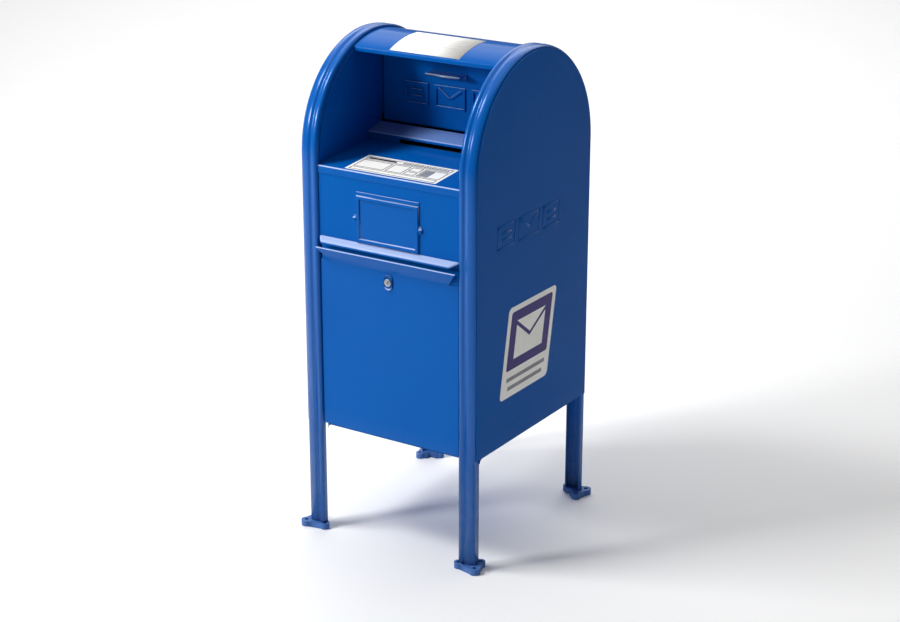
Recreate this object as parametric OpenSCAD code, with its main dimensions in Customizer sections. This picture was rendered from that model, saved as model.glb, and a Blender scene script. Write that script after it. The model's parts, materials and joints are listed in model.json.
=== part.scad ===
// Street mail collection box: four legs with arched rims, a hood over a deposit
// recess, a pull-down hopper door and a locked drop-down collection door.
// Millimetres, +Z up, the front faces -Y, the origin is on the ground under the middle.

/* [Overall] */
// Width over the two side panels
box_w = 508; // [420:1:620]
// Depth over the front and rear faces of the legs
box_d = 552; // [460:1:664]
// Height from the ground to the top of the arched rims
box_h = 1270; // [1150:1:1530]
// Height of the body's bottom edge above the ground
body_bottom = 294; // [240:1:360]

/* [Sheet metal] */
// Thickness of the structural sheet
sheet_t = 2.5; // [1.5:0.1:3.5]
// Thickness of the light inner sheet
thin_t = 2; // [1:0.1:3]
// Depth of the skin behind the face of the rims
skin_recess = 8; // [4:0.5:12]
// Radius of the small fillets where the body meets the legs
corner_fillet = 11; // [4:1:18]

/* [Rims and legs] */
// Width of the rim, seen from the front
rim_w = 49.5; // [42:0.5:60]
// Depth of the rim's flange behind the side panel
rim_side = 24; // [18:0.5:40]
// Depth of the rim's return along the opening
rim_return = 16; // [13:0.5:24]
// Radius of the rolled inner ridge
ridge_r = 8; // [5:0.5:10]
// Width of the shallow valley between ridge and outer band
valley_w = 14; // [8:0.5:16]
// Depth of the shallow valley
valley_depth = 2.2; // [0:0.1:3]
// Width of the bowed outer band
band_w = 20; // [14:0.5:24]
// Fall of the bowed outer band towards the side
band_fall = 8; // [4:0.5:10]

/* [Feet] */
// Height of the foot castings
foot_h = 15; // [10:0.5:20]
// Radius of each foot lobe
lobe_r = 14; // [11:0.5:18]
// Radius of the anchor bolt holes
anchor_r = 5.5; // [4:0.5:7]
// Distance of the corner lobe beyond the side panel
corner_lobe_out = 4; // [2:0.5:14]
// Radius of the two inner lobes
inner_lobe_r = 12; // [9:0.5:14]
// Distance of the side lobe behind the front plane
side_lobe_in = 36; // [30:1:50]
// Width of the foot's bars
foot_bar_w = 20; // [16:0.5:24]

/* [Hood and recess] */
// Distance of the hood's front edge in front of the middle
hood_front = 112; // [80:1:150]
// Height of the hood's turned-down lip
hood_lip = 13; // [8:0.5:20]
// Drop of the shelf's front edge below the centre of the arch
shelf_drop = 21; // [0:1:50]
// Slope of the shelf in degrees
shelf_slope = 5; // [0:0.5:8]
// Height of the shelf's turned-down front flange
shelf_flange = 19; // [12:1:30]
// Distance of the slot plate behind the shelf's front edge, along the shelf
slot_plate_in = 218; // [180:1:230]
// Height of the slot plate
slot_plate_h = 20; // [18:0.5:26]
// Length of the mail slot
slot_l = 222; // [180:1:300]
// Height of the mail slot
slot_h = 12; // [8:0.5:14]
// Depth of the recess walls behind the middle
recess_back = 130; // [100:1:160]
// Depth of the recess walls below the centre of the arch
recess_below = 60; // [40:1:80]

/* [Deposit door] */
// Position of the deposit door's face behind the middle
hopper_face = 8; // [0:1:20]
// Height of the hopper's pivot above the centre of the arch
hopper_rise = 40; // [34:1:50]
// Gap between the deposit door's top and the hood
hood_gap = 37; // [20:1:60]
// Gap at each side of the deposit door
hopper_gap = 5; // [4:0.5:8]
// Radius of the pivot rod
rod_r = 5; // [4:0.5:6]
// Radius of the curl round the pivot rod
curl_r = 7; // [6.5:0.5:9]
// Depth of the deposit door's top flange
hopper_flange = 12; // [8:1:16]
// Reach of the hopper's cheeks and pan from the pivot
pan_r = 150; // [120:1:160]
// Fall of the closed pan below the horizontal in degrees
pan_fall = 20; // [10:1:30]
// Inset of the cheeks from the deposit door's ends
cheek_inset = 9; // [8:0.5:14]
// Side of the square counterweight bar
weight_s = 20; // [14:1:24]
// Width of the pull handle
pull_w = 100; // [80:1:140]
// Depth of the pull handle
pull_d = 34; // [26:1:40]
// Height of the pull handle above the pivot
pull_up = 140; // [110:1:150]
// Running clearance round the pivot rod
rod_clear = 0.05; // [0.02:0.01:0.1]

/* [Upper front] */
// Height of the upper front panel
upper_h = 193; // [170:1:220]
// Projection of the drip ledge
ledge_out = 20; // [14:1:22]
// Height of the drip ledge's back edge above the panel's bottom edge
ledge_up = 15; // [12:1:20]
// Fall of the drip ledge
ledge_fall = 8; // [4:1:10]
// Taper at each end of the drip ledge
ledge_taper = 16; // [8:1:24]
// Width of the card frame
card_w = 182; // [150:1:220]
// Height of the card frame
card_h = 128; // [100:1:140]
// Width of the card frame's rails
card_rail = 11; // [8:0.5:16]
// Thickness of the card frame
card_t = 4; // [3:0.5:6]

/* [Collection door] */
// Gap round the collection door
door_gap = 1.5; // [1:0.1:3]
// Depth of the collection door's edge flanges
door_flange = 18.5; // [14:0.5:22]
// Height of the flared lip below the upper panel's bottom edge
lip_below = 45; // [40:1:60]
// Projection of the flared lip
lip_out = 22; // [16:1:26]
// Rise of the flared lip
lip_rise = 33; // [24:1:38]
// Taper at each end of the flared lip
lip_taper = 28; // [10:1:40]
// Radius of the hinge knuckles
knuckle_r = 4.1; // [3.5:0.1:5]
// Radius of the hinge pin
hinge_pin_r = 2; // [1.5:0.1:2.5]
// Gap between the piano hinge's leaf and the door jambs
hinge_gap = 0.5; // [0.3:0.1:2]
// Height of the hinge axis above the body's bottom edge
hinge_up = 6; // [5:0.5:8]
// Running clearance round the hinge pin
pin_clear = 0.05; // [0.02:0.01:0.1]

/* [Lock] */
// Height of the lock below the upper panel's bottom edge
lock_below = 72; // [64:1:90]
// Radius of the lock's threaded body
lock_r = 9.5; // [8:0.5:11]
// Radius of the turning plug
plug_r = 6; // [5:0.5:7]
// Width of the oblong escutcheon
escutcheon_w = 25; // [23:0.5:30]
// Height of the oblong escutcheon
escutcheon_h = 39; // [34:0.5:46]
// Length of the cam from the plug's centre
cam_l = 30; // [26:0.5:36]
// Width of the cam
cam_w = 17; // [14:0.5:18]

/* [Labels] */
// Thickness of the labels
label_t = 0.4; // [0.3:0.1:0.6]
// Width of the side decal
decal_w = 228; // [160:1:260]
// Height of the side decal
decal_h = 230; // [160:1:260]
// Slant of the side decal's ends
decal_slant = 44; // [0:1:60]
// Drop of the decal's top edge below the centre of the arch
decal_drop = 350; // [300:1:400]
// How far the side decal sits in front of the middle of the side
decal_front = 28; // [0:1:60]
// Width of the shelf label
shelf_label_w = 262; // [200:1:300]
// Depth of the shelf label
shelf_label_d = 104; // [80:1:120]
// Width of the hood label
hood_label_w = 200; // [140:1:240]
// Arc of the hood label in degrees
hood_label_arc = 27; // [10:1:30]

/* [Hidden] */
$fn = 96;
eps = 0.01;
seam = 0.3;
slot_clear = 4;
blue = "#1a5fa8";
deep_blue = "#123f86";
paper = "#f2f1ec";
violet = "#35226b";
steel = "#a7abb0";
brass = "#b08d4f";
rubber = "#23252a";
nylon = "#d9d7cf";

arch_r = box_d / 2;
arch_z = box_h - arch_r;
skin_r = arch_r - skin_recess;
half_in = box_w / 2 - rim_w;
rim_run = rim_w - sheet_t;
front_y = -skin_r;
shelf_z = arch_z - shelf_drop;
upper_z = shelf_z - upper_h;
panel_edge = band_fall + 0.5;
wall_half = box_w / 2 - sheet_t;
hood_edge_z = arch_z + sqrt(skin_r * skin_r - hood_front * hood_front);
hood_end_angle = 90 + asin(hood_front / skin_r);

hopper_y = hopper_face + curl_r;
hopper_z = arch_z + hopper_rise;
hopper_half = half_in - hopper_gap;
hopper_back = hopper_face + hopper_flange;
hood_inner_r = skin_r - sheet_t;
hopper_h = sqrt(hood_inner_r * hood_inner_r - hopper_back * hopper_back) - hopper_rise - hood_gap;
cheek_x = hopper_half - cheek_inset;
bush_r = 8;
bush_flange_r = 12;
bush_flange_t = 2.5;
bush_out = 6;
hinge_y = front_y + sheet_t + knuckle_r + 0.4;
hinge_z = body_bottom + hinge_up;
leaf_t = 2;
leaf_w = 28;
knuckles = 9;
knuckle_gap = 0.5;
door_half = half_in - door_gap;
door_bottom = body_bottom + door_gap + 0.5;
door_top = upper_z - door_gap - 0.5;
bend_z = upper_z - lip_below;
flange_y = front_y + sheet_t + door_flange;
strike_y = flange_y + 1;
lock_z = upper_z - lock_below;
lock_back = strike_y - 0.5 + sheet_t;
cam_y = strike_y + sheet_t + 1;
cam_t = 2.5;
strike_low = lock_z + cam_w / 2 + 7;
sill_y = hinge_y + knuckle_r + 6.9;
sill_d = 22;
stop_w = 14;
hinge_l = 2 * (half_in - stop_w - hinge_gap);
knuckle_len = hinge_l / knuckles;
foot_x = box_w / 2 + corner_lobe_out;
foot_y = arch_r + corner_lobe_out;

function reversed(list) = [for (i = [len(list) - 1 : -1 : 0]) list[i]];
function bow(cx, cy, rx, ry, from, to, n) =
    [for (i = [0 : n]) [cx + rx * cos(from + (to - from) * i / n),
                        cy + ry * sin(from + (to - from) * i / n)]];

// One face of the rim's section, d inside its outer face: u runs outwards from the
// opening and v runs back from the front plane.
function rim_line(d) =
    let (valley_u = ridge_r + 3, flat_u = rim_run - band_w)
    concat(
        [[d, rim_return]],
        bow(ridge_r, ridge_r, ridge_r - d, ridge_r - d, 180, 270, 6),
        [[valley_u, d], [valley_u + valley_w / 4, d + valley_depth],
         [valley_u + valley_w * 3 / 4, d + valley_depth], [valley_u + valley_w, d]],
        bow(flat_u, band_fall, band_w - d, band_fall - d, 270, 360, 8),
        [[rim_run - d, rim_side]]);

// The folded sheet of a rim or leg as a closed outline of [u, v] points.
function rim_outline() = concat(rim_line(0), reversed(rim_line(sheet_t)));

// Turns front-right geometry into the corner with these signs.
module at_corner(x_sign, y_sign) {
    mirror([x_sign < 0 ? 1 : 0, 0, 0])
        mirror([0, y_sign > 0 ? 1 : 0, 0])
            children();
}

// Mirrors geometry made for the right side to the side with this sign.
module at_side(x_sign) {
    mirror([x_sign < 0 ? 1 : 0, 0, 0]) children();
}

// Extrudes a [Y, Z] outline along +X from x.
module plate_yz(x, thickness) {
    translate([x, 0, 0])
        rotate([90, 0, 90])
            linear_extrude(height = thickness)
                children();
}

// Extrudes an [X, Z] outline along +Y from y.
module plate_xz(y, thickness) {
    translate([0, y + thickness, 0])
        rotate([90, 0, 0])
            linear_extrude(height = thickness)
                children();
}

// A bar along X, centred, between two corners in Y and Z.
module bar_x(half, y0, y1, z0, z1) {
    translate([-half, y0, z0]) cube([2 * half, y1 - y0, z1 - z0]);
}

// A rod along X between x0 and x1.
module rod_x(r, x0, x1, y, z) {
    translate([x0, y, z])
        rotate([0, 90, 0])
            cylinder(r = r, h = x1 - x0);
}

// A rod along Y between y0 and y1.
module rod_y(r, x, y0, y1, z) {
    translate([x, y1, z])
        rotate([90, 0, 0])
            cylinder(r = r, h = y1 - y0);
}

// The shelf's own frame: origin on its front edge, Y along its top face.
module on_shelf() {
    translate([0, front_y - thin_t, shelf_z])
        rotate([shelf_slope, 0, 0])
            children();
}

// The [Y, Z] point at this run along the shelf's top face and height above it.
function shelf_point(run, rise) =
    [front_y - thin_t + run * cos(shelf_slope) - rise * sin(shelf_slope),
     shelf_z + run * sin(shelf_slope) + rise * cos(shelf_slope)];

// The little web that fills the corner below an edge, to the right of [0, 0].
module fillet_web(r) {
    difference() {
        translate([0, -r]) square([r, r + eps]);
        translate([r, -r]) circle(r = r);
    }
}

module leg() {
    color(blue)
        translate([half_in, -arch_r, foot_h])
            linear_extrude(height = arch_z - foot_h)
                polygon(rim_outline());
}

// The web that fills a foot between two lobes, a little narrower than they are.
module foot_web(a, b) {
    in = 2.5;
    way = [b[0] - a[0], b[1] - a[1]];
    side = [-way[1], way[0]] / norm(way);
    polygon([[a[0], a[1]] + side * (a[2] - in), [b[0], b[1]] + side * (b[2] - in),
             [b[0], b[1]] - side * (b[2] - in), [a[0], a[1]] - side * (a[2] - in)]);
}

module foot() {
    // Each lobe as [x, y, radius]: the corner one, the one under the opening's edge
    // and the one under the side.
    lobes = [[foot_x, -foot_y, lobe_r],
             [half_in + 1.5, -arch_r + corner_lobe_out, inner_lobe_r],
             [box_w / 2 - corner_lobe_out, -arch_r + side_lobe_in, inner_lobe_r]];
    corner = [wall_half - foot_bar_w / 2, -arch_r + foot_bar_w / 2];
    color(blue)
        difference() {
            linear_extrude(height = foot_h)
                union() {
                    for (p = lobes) translate([p[0], p[1]]) circle(r = p[2]);
                    translate(corner) circle(r = foot_bar_w * 0.75);
                    foot_web(lobes[0], lobes[1]);
                    foot_web(lobes[0], lobes[2]);
                    translate([lobes[1][0], corner[1] - foot_bar_w / 2])
                        square([corner[0] - lobes[1][0], foot_bar_w]);
                    translate([corner[0] - foot_bar_w / 2, corner[1]])
                        square([foot_bar_w, lobes[2][1] - corner[1]]);
                }
            for (p = lobes)
                translate([p[0], p[1], -1])
                    cylinder(r = anchor_r, h = foot_h + 2);
        }
}

module arch_rim() {
    color(blue)
        translate([0, 0, arch_z])
            rotate([90, 0, 90])
                rotate_extrude(angle = 180)
                    polygon([for (p = rim_outline()) [arch_r - p[1], half_in + p[0]]]);
}

module side_panel() {
    r = arch_r - panel_edge;
    low = body_bottom - arch_z;
    leg_edge = arch_r - rim_side;
    color(blue)
        translate([0, 0, arch_z])
            plate_yz(wall_half, sheet_t)
                union() {
                    circle(r = r);
                    translate([-r, low]) square([2 * r, -low]);
                    translate([-leg_edge, low]) fillet_web(corner_fillet);
                    translate([leg_edge, low]) mirror([1, 0]) fillet_web(corner_fillet);
                }
}

module hood_cover() {
    color(blue)
        union() {
            translate([0, 0, arch_z])
                rotate([90, 0, 90])
                    rotate_extrude(angle = hood_end_angle)
                        translate([skin_r - sheet_t, -half_in])
                            square([sheet_t, 2 * half_in]);
            bar_x(half_in, -hood_front, -hood_front + sheet_t, hood_edge_z - hood_lip, hood_edge_z);
            rod_x(sheet_t, -half_in, half_in, -hood_front + sheet_t, hood_edge_z - hood_lip);
        }
}

module back_panel() {
    color(blue)
        plate_xz(skin_r - sheet_t, sheet_t)
            union() {
                translate([-half_in, body_bottom]) square([2 * half_in, arch_z - body_bottom]);
                translate([-half_in, body_bottom]) fillet_web(corner_fillet);
                translate([half_in, body_bottom]) mirror([1, 0]) fillet_web(corner_fillet);
            }
}

module floor_pan() {
    top = body_bottom + sheet_t;
    lip = 20;
    inside = skin_r - sheet_t;
    notch = arch_r - rim_side - 2;
    color(blue)
        union() {
            bar_x(wall_half, sill_y + sheet_t, notch, body_bottom, top);
            bar_x(half_in - 1, notch - eps, inside, body_bottom, top);
            bar_x(half_in - 1, inside - thin_t, inside, body_bottom, top + lip);
            for (s = [-1, 1])
                at_side(s)
                    translate([wall_half - thin_t, strike_y + thin_t, body_bottom])
                        cube([thin_t, notch - strike_y - thin_t, sheet_t + lip]);
        }
}

module door_sill() {
    top = body_bottom + sheet_t;
    drop = 10;
    color(blue)
        union() {
            bar_x(half_in, sill_y, sill_y + sill_d, top, top + thin_t);
            bar_x(half_in, sill_y, sill_y + sheet_t, body_bottom - drop, top + eps);
            plate_xz(sill_y, sheet_t)
                union() {
                    translate([-half_in, body_bottom - drop]) fillet_web(corner_fillet);
                    translate([half_in, body_bottom - drop])
                        mirror([1, 0])
                            fillet_web(corner_fillet);
                }
        }
}

module upper_front_panel() {
    color(blue) bar_x(half_in, front_y, front_y + sheet_t, upper_z, shelf_z - thin_t);
}

module shelf() {
    reach = slot_plate_in + 12;
    hook = 12;
    under = thin_t * tan(shelf_slope) - thin_t / cos(shelf_slope);
    color(blue)
        plate_yz(-half_in, 2 * half_in)
            polygon([
                [front_y - thin_t, shelf_z - shelf_flange], shelf_point(0, 0),
                shelf_point(reach, 0), shelf_point(reach, -hook),
                shelf_point(reach - thin_t, -hook), shelf_point(reach - thin_t, -thin_t),
                [front_y, shelf_z + under], [front_y, shelf_z - shelf_flange]
            ]);
}

module slot_plate() {
    tilt = 10;
    t = thin_t;
    in = slot_plate_in;
    rise = slot_plate_h;
    run = hopper_face - slot_clear - front_y + t - in;
    fold = rise - t * cos(tilt) + t * (1 - sin(tilt)) * tan(tilt);
    color(blue)
        difference() {
            plate_yz(-half_in, 2 * half_in)
                polygon([
                    shelf_point(in, 0), shelf_point(in, rise),
                    shelf_point(in + run * cos(tilt), rise + run * sin(tilt)),
                    shelf_point(in + run * cos(tilt) + t * sin(tilt),
                                rise + run * sin(tilt) - t * cos(tilt)),
                    shelf_point(in + t, fold), shelf_point(in + t, 0)
                ]);
            on_shelf() bar_x(slot_l / 2, in - 5, in + 5, -1, slot_h);
        }
}

module slot_teeth() {
    pitch = 11;
    gap = 5;
    strip = 16;
    count = floor(slot_l / pitch);
    half = count * pitch / 2;
    color(steel)
        on_shelf()
            translate([0, slot_plate_in + thin_t, 0])
                difference() {
                    bar_x(half, 0, strip, 0, 1.5);
                    for (i = [0 : count - 1])
                        translate([-half + i * pitch + (pitch - gap) / 2, strip - 9, -1])
                            cube([gap, 10, 4]);
                }
}

module recess_wall() {
    r = arch_r - rim_return - seam;
    color(blue)
        difference() {
            translate([0, 0, arch_z])
                plate_yz(half_in, thin_t)
                    intersection() {
                        union() {
                            circle(r = r);
                            translate([-r, -recess_below]) square([2 * r, recess_below]);
                        }
                        translate([-r, -recess_below]) square([r + recess_back, recess_below + r]);
                    }
            rod_x(bush_r, half_in - 5, half_in + 5, hopper_y, hopper_z);
        }
}

module strike_bar() {
    top = upper_z + 20;
    color(blue)
        union() {
            bar_x(half_in, front_y + sheet_t, strike_y + sheet_t, top - sheet_t, top);
            bar_x(half_in, strike_y, strike_y + sheet_t, strike_low, top);
        }
}

module door_jamb() {
    low = body_bottom + sheet_t + thin_t;
    color(blue)
        translate([half_in - stop_w, strike_y, low])
            cube([wall_half - half_in + stop_w, thin_t, strike_low - low]);
}

module door_bumpers() {
    pad = 10;
    color(rubber)
        for (s = [-1, 1])
            for (z = [door_bottom + 170, strike_low - 70])
                at_side(s)
                    translate([door_half - pad, flange_y + 0.3, z])
                        cube([pad, strike_y - flange_y - 0.3, 2 * pad]);
}

module drip_ledge() {
    back_z = upper_z + ledge_up;
    tilt = atan(ledge_fall / ledge_out);
    run = sqrt(ledge_out * ledge_out + ledge_fall * ledge_fall);
    hem = 7;
    end_half = half_in - ledge_taper;
    color(blue)
        difference() {
            translate([0, front_y, back_z])
                union() {
                    rotate([tilt, 0, 0])
                        translate([0, 0, -sheet_t])
                            linear_extrude(height = sheet_t)
                                polygon([[-half_in, 2], [half_in, 2], [half_in, 0],
                                         [end_half, -run], [-end_half, -run], [-half_in, 0]]);
                    bar_x(end_half, -ledge_out, -ledge_out + sheet_t,
                          -ledge_fall - hem, -ledge_fall - eps);
                }
            bar_x(box_w, front_y, front_y + 10, back_z - 20, back_z + 20);
        }
}

module card_frame() {
    low = upper_z + ledge_up + 1;
    pocket = 1.5;
    ear_r = 9;
    color(blue)
        translate([0, front_y, low])
            difference() {
                union() {
                    bar_x(card_w / 2, -card_t, 0, 0, card_h);
                    for (s = [-1, 1])
                        rod_y(ear_r, s * card_w / 2, -thin_t, 0, card_h / 2);
                }
                bar_x(card_w / 2 - card_rail, -card_t - 1, 1, card_rail, card_h - 2 * card_rail);
                bar_x(card_w / 2 - card_rail / 2, -thin_t, 1 - thin_t + pocket - 1,
                      card_rail / 2, card_h + 1);
            }
}

module card_frame_studs() {
    low = upper_z + ledge_up + 1;
    head_r = 4;
    color(blue)
        for (s = [-1, 1])
            translate([s * (card_w / 2 + head_r + 0.5), front_y - thin_t, low + card_h / 2])
                intersection() {
                    translate([0, head_r * 0.5, 0]) sphere(r = head_r * 1.2);
                    rod_y(head_r, 0, -3 * head_r, 0, 0);
                }
}

module anti_theft_baffle() {
    fall = 22;
    t = thin_t;
    back = skin_r - sheet_t;
    top = shelf_z - 45;
    hook = 22;
    reach = 150;
    half = half_in - 4;
    color(blue)
        plate_yz(-half, 2 * half)
            polygon([
                [back, top - t], [back, top + hook], [back - t, top + hook], [back - t, top],
                [back - t - reach * cos(fall), top - reach * sin(fall)],
                [back - t - reach * cos(fall) + t * sin(fall), top - reach * sin(fall) - t * cos(fall)]
            ]);
}

module pivot_bush() {
    color(nylon)
        difference() {
            union() {
                rod_x(bush_flange_r, half_in - bush_flange_t, half_in, hopper_y, hopper_z);
                rod_x(bush_r, half_in - eps, half_in + thin_t + bush_out, hopper_y, hopper_z);
            }
            rod_x(rod_r + rod_clear, half_in - 20, half_in + 30, hopper_y, hopper_z);
        }
}

module hopper_bumpers() {
    color(rubber)
        for (s = [-1, 1])
            at_side(s)
                translate([hopper_half - 4, hopper_face + thin_t + 0.3, hopper_z + hopper_h - 34])
                    cube([half_in - hopper_half + 4, 8, 16]);
}

// The knuckles of one leaf: first is 0 for the fixed leaf and 1 for the door's leaf.
module knuckle_row(first) {
    for (i = [first : 2 : knuckles - 1])
        rod_x(knuckle_r, -hinge_l / 2 + i * knuckle_len + knuckle_gap / 2,
              -hinge_l / 2 + (i + 1) * knuckle_len - knuckle_gap / 2, hinge_y, hinge_z);
}

module hinge_fixed_leaf() {
    clear_y = hinge_y + knuckle_r + 1;
    color(steel)
        difference() {
            union() {
                knuckle_row(0);
                bar_x(hinge_l / 2, clear_y, clear_y + leaf_w, hinge_z - leaf_t / 2, hinge_z + leaf_t / 2);
                for (i = [0 : 2 : knuckles - 1])
                    translate([-hinge_l / 2 + i * knuckle_len + knuckle_gap / 2,
                               hinge_y, hinge_z - leaf_t / 2])
                        cube([knuckle_len - knuckle_gap, knuckle_r + 2, leaf_t]);
            }
            rod_x(hinge_pin_r, -hinge_l, hinge_l, hinge_y, hinge_z);
        }
}

module hinge_door_leaf() {
    clear_z = hinge_z + knuckle_r + 1;
    leaf_y = front_y + sheet_t;
    color(steel)
        difference() {
            union() {
                knuckle_row(1);
                bar_x(hinge_l / 2, leaf_y, leaf_y + leaf_t, clear_z, clear_z + leaf_w);
                for (i = [1 : 2 : knuckles - 1])
                    translate([-hinge_l / 2 + i * knuckle_len + knuckle_gap / 2, leaf_y, hinge_z])
                        cube([knuckle_len - knuckle_gap, leaf_t, knuckle_r + 2]);
            }
            rod_x(hinge_pin_r + pin_clear, -hinge_l, hinge_l, hinge_y, hinge_z);
        }
}

module hinge_pin() {
    color(steel) rod_x(hinge_pin_r, -hinge_l / 2 - 1, hinge_l / 2 + 1, hinge_y, hinge_z);
}

// Rivet heads along the hinge: y and z of the seat, turned to stand off it.
module rivet_row(y, z, turn) {
    head_r = 3.5;
    head_h = 1.6;
    count = 5;
    for (i = [0 : count - 1])
        translate([hinge_l * (i / (count - 1) - 0.5) * 0.9, y, z])
            rotate([turn, 0, 0])
                cylinder(r = head_r, h = head_h);
}

module sill_rivets() {
    color(steel) rivet_row(hinge_y + knuckle_r + 1 + leaf_w * 0.6, hinge_z + leaf_t / 2, 0);
}

module door_rivets() {
    color(steel)
        rivet_row(front_y + sheet_t + leaf_t, hinge_z + knuckle_r + 1 + leaf_w * 0.6, -90);
}

module side_decal() {
    corner_r = 12;
    top = arch_z - decal_drop;
    half = decal_w / 2 - corner_r;
    lean = decal_slant / 2;
    color(paper)
        plate_yz(box_w / 2, label_t)
            hull()
                for (s = [-1, 1]) {
                    translate([s * half + lean - decal_front, top - corner_r])
                        circle(r = corner_r, $fn = 32);
                    translate([s * half - lean - decal_front, top - decal_h + corner_r])
                        circle(r = corner_r, $fn = 32);
                }
}

module shelf_label() {
    color(paper)
        on_shelf() bar_x(shelf_label_w / 2, 10, 10 + shelf_label_d, 0, label_t);
}

module hood_label() {
    color(paper)
        translate([0, 0, arch_z])
            rotate([90, 0, 90])
                rotate([0, 0, hood_end_angle - 1 - hood_label_arc])
                    rotate_extrude(angle = hood_label_arc)
                        translate([skin_r, -hood_label_w / 2])
                            square([label_t, hood_label_w]);
}

module deposit_door() {
    top = hopper_z + hopper_h;
    color(blue)
        difference() {
            union() {
                bar_x(hopper_half, hopper_face, hopper_face + thin_t, hopper_z, top);
                bar_x(hopper_half, hopper_face, hopper_face + hopper_flange, top - thin_t, top);
                rod_x(curl_r, -hopper_half, hopper_half, hopper_y, hopper_z);
            }
            rod_x(rod_r, -box_w, box_w, hopper_y, hopper_z);
        }
}

module pull_handle() {
    z = hopper_z + pull_up;
    tip = hopper_face - pull_d;
    edge_r = 4;
    flange = 15;
    color(blue)
        union() {
            bar_x(pull_w / 2, tip, hopper_face, z - thin_t, z);
            bar_x(pull_w / 2, hopper_face - thin_t, hopper_face, z - flange, z);
            rod_x(edge_r, -pull_w / 2, pull_w / 2, tip, z - edge_r);
        }
}

module pull_handle_rivets() {
    color(blue)
        for (s = [-1, 1])
            rod_y(3.5, s * (pull_w / 2 - 14), hopper_face - thin_t - 1.5, hopper_face - thin_t,
                  hopper_z + pull_up - 10);
}

module hopper_cheek() {
    color(deep_blue)
        translate([0, hopper_y, hopper_z])
            plate_yz(cheek_x - thin_t, thin_t)
                difference() {
                    intersection() {
                        circle(r = pan_r);
                        translate([thin_t - curl_r, -pan_r]) square([2 * pan_r, 2 * pan_r]);
                        rotate([0, 0, -pan_fall])
                            translate([-2 * pan_r, 0])
                                square([4 * pan_r, 2 * pan_r]);
                    }
                    circle(r = curl_r);
                }
}

module hopper_pan() {
    lip = 14;
    color(deep_blue)
        translate([0, hopper_y, hopper_z])
            difference() {
                rotate([-pan_fall, 0, 0])
                    union() {
                        bar_x(cheek_x, 0, pan_r, -thin_t, 0);
                        bar_x(cheek_x, pan_r - thin_t, pan_r, -lip, 0);
                    }
                rod_x(curl_r, -box_w, box_w, 0, 0);
            }
}

module counterweight() {
    color(steel)
        translate([0, hopper_y, hopper_z])
            rotate([-pan_fall, 0, 0])
                bar_x(cheek_x - 10, pan_r - thin_t - weight_s, pan_r - thin_t, -thin_t - weight_s, -thin_t);
}

module pivot_rod() {
    end = half_in + thin_t + bush_out + 2;
    color(steel) rod_x(rod_r, -end, end, hopper_y, hopper_z);
}

module collection_door() {
    back = front_y + sheet_t;
    flange_low = hinge_z + 6;
    rise_run = sqrt(lip_out * lip_out + lip_rise * lip_rise);
    color(blue)
        difference() {
            union() {
                bar_x(door_half, front_y, back, door_bottom, bend_z);
                for (s = [-1, 1])
                    at_side(s)
                        translate([door_half - sheet_t, front_y, flange_low])
                            cube([sheet_t, sheet_t + door_flange, bend_z - flange_low]);
                translate([0, front_y + sheet_t, bend_z])
                    rotate([atan(lip_out / lip_rise), 0, 0])
                        plate_xz(-sheet_t, sheet_t)
                            polygon([[-door_half + lip_taper, 0], [door_half - lip_taper, 0],
                                     [door_half, rise_run], [-door_half, rise_run]]);
            }
            rod_y(lock_r, 0, front_y - 5, back + 5, lock_z);
        }
}

module door_top_channel() {
    back = front_y + sheet_t;
    low = bend_z - 12;
    color(blue)
        union() {
            bar_x(door_half - sheet_t, back, back + thin_t, low, door_top);
            bar_x(door_half - sheet_t, back, flange_y, door_top - thin_t, door_top);
        }
}

module door_stiffener() {
    half = door_half - sheet_t;
    depth = door_flange - sheet_t;
    mid = (door_bottom + bend_z) / 2;
    back = front_y + sheet_t;
    color(blue)
        union() {
            bar_x(half, back, back + thin_t, mid - 42, mid - 22);
            bar_x(half, back, back + depth, mid - 24, mid - 22);
            bar_x(half, back + depth - thin_t, back + depth, mid - 24, mid + 24);
            bar_x(half, back, back + depth, mid + 22, mid + 24);
            bar_x(half, back, back + thin_t, mid + 22, mid + 42);
        }
}

module door_liner() {
    low = hinge_z + 10;
    top = lock_z - 27;
    color(blue) bar_x(door_half - sheet_t, flange_y - sheet_t, flange_y, low, top);
}

// An upright oblong outline with round ends.
module oblong(w, h) {
    union() {
        for (s = [-1, 1]) translate([0, s * (h - w) / 2]) circle(r = w / 2);
        translate([-w / 2, -(h - w) / 2]) square([w, h - w]);
    }
}

module lock_escutcheon() {
    color(blue)
        translate([0, 0, lock_z])
            difference() {
                plate_xz(front_y - 4, 4) oblong(escutcheon_w, escutcheon_h);
                rod_y(lock_r, 0, front_y - 10, front_y + 5, 0);
            }
}

module lock_body() {
    color(steel)
        difference() {
            rod_y(lock_r, 0, front_y - 5, lock_back, lock_z);
            rod_y(plug_r + pin_clear, 0, front_y - 10, lock_back + 5, lock_z);
        }
}

module lock_nut() {
    nut_r = 15;
    nut_t = 5;
    back = front_y + sheet_t;
    color(steel)
        difference() {
            translate([0, back + nut_t, lock_z])
                rotate([90, 0, 0])
                    cylinder(r = nut_r, h = nut_t, $fn = 6);
            rod_y(lock_r, 0, back - 5, back + nut_t + 5, lock_z);
        }
}

module lock_plug() {
    color(brass)
        difference() {
            rod_y(plug_r, 0, front_y - 5.5, cam_y, lock_z);
            translate([-0.8, front_y - 6, lock_z - 4]) cube([1.6, 6, 8]);
        }
}

module lock_cam() {
    color(steel)
        translate([0, 0, lock_z])
            plate_xz(cam_y, cam_t)
                union() {
                    circle(r = cam_w / 2);
                    translate([0, -cam_w / 2]) square([cam_l - cam_w / 2, cam_w]);
                    translate([cam_l - cam_w / 2, 0]) circle(r = cam_w / 2);
                }
}

module cam_nut() {
    color(steel)
        translate([0, cam_y + cam_t + 3, lock_z])
            rotate([90, 0, 0])
                cylinder(r = 5.5, h = 3, $fn = 6);
}

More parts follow.
